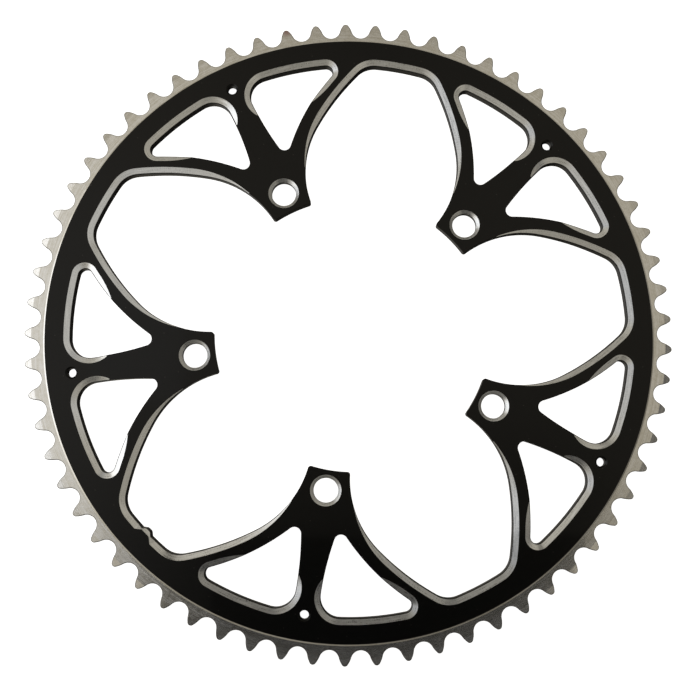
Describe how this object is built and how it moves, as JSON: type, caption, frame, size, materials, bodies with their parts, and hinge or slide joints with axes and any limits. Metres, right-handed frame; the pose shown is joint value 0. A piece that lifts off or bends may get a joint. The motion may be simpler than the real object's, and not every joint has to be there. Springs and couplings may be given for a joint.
{
  "type": "bicycle chainring",
  "caption": "Large flat bicycle chainring: a toothed rim, windowed arms that run in to bolt tabs, and bare bevels on a black front face. It drives a roller chain from the crank.",
  "frame": {"origin": "on the ring axis, in the plane of the rear of the rim, on which the ring lies", "axes": "+Z along the ring axis out of the black front face, +Y along one arm, away from the index nib"},
  "size_m": [0.2676, 0.2675, 0.005],
  "materials": {
    "anodised_aluminium": "satin black anodise, with bare machined bevels, teeth and countersinks"
  },
  "bodies": {
    "root": {"chainring": "anodised_aluminium"}
  },
  "joints": []
}
